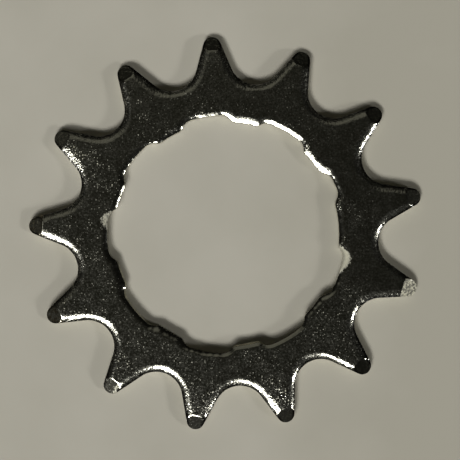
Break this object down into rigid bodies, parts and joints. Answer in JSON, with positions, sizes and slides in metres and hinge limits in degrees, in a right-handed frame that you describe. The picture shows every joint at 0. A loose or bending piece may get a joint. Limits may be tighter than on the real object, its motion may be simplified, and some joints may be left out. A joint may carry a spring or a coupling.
{
  "type": "bicycle sprocket",
  "caption": "Flat stamped steel bicycle sprocket with bevelled tooth tips, rolled edges and a keyed splined bore, driving a roller chain from a splined hub.",
  "frame": {"origin": "on the axis of the splined bore, at the flat back face that the sprocket lies on", "axes": "+Z along the bore axis, from the back face to the front face with the rolled edges; +X through the place of the wide key tab; +Y completes the right-handed frame"},
  "size_m": [0.0585, 0.0585, 0.002],
  "materials": {
    "plated_steel": "bright plating over stamped steel, pitted and worn on the faces and tooth tips"
  },
  "bodies": {
    "root": {"sprocket": "plated_steel"}
  },
  "joints": []
}
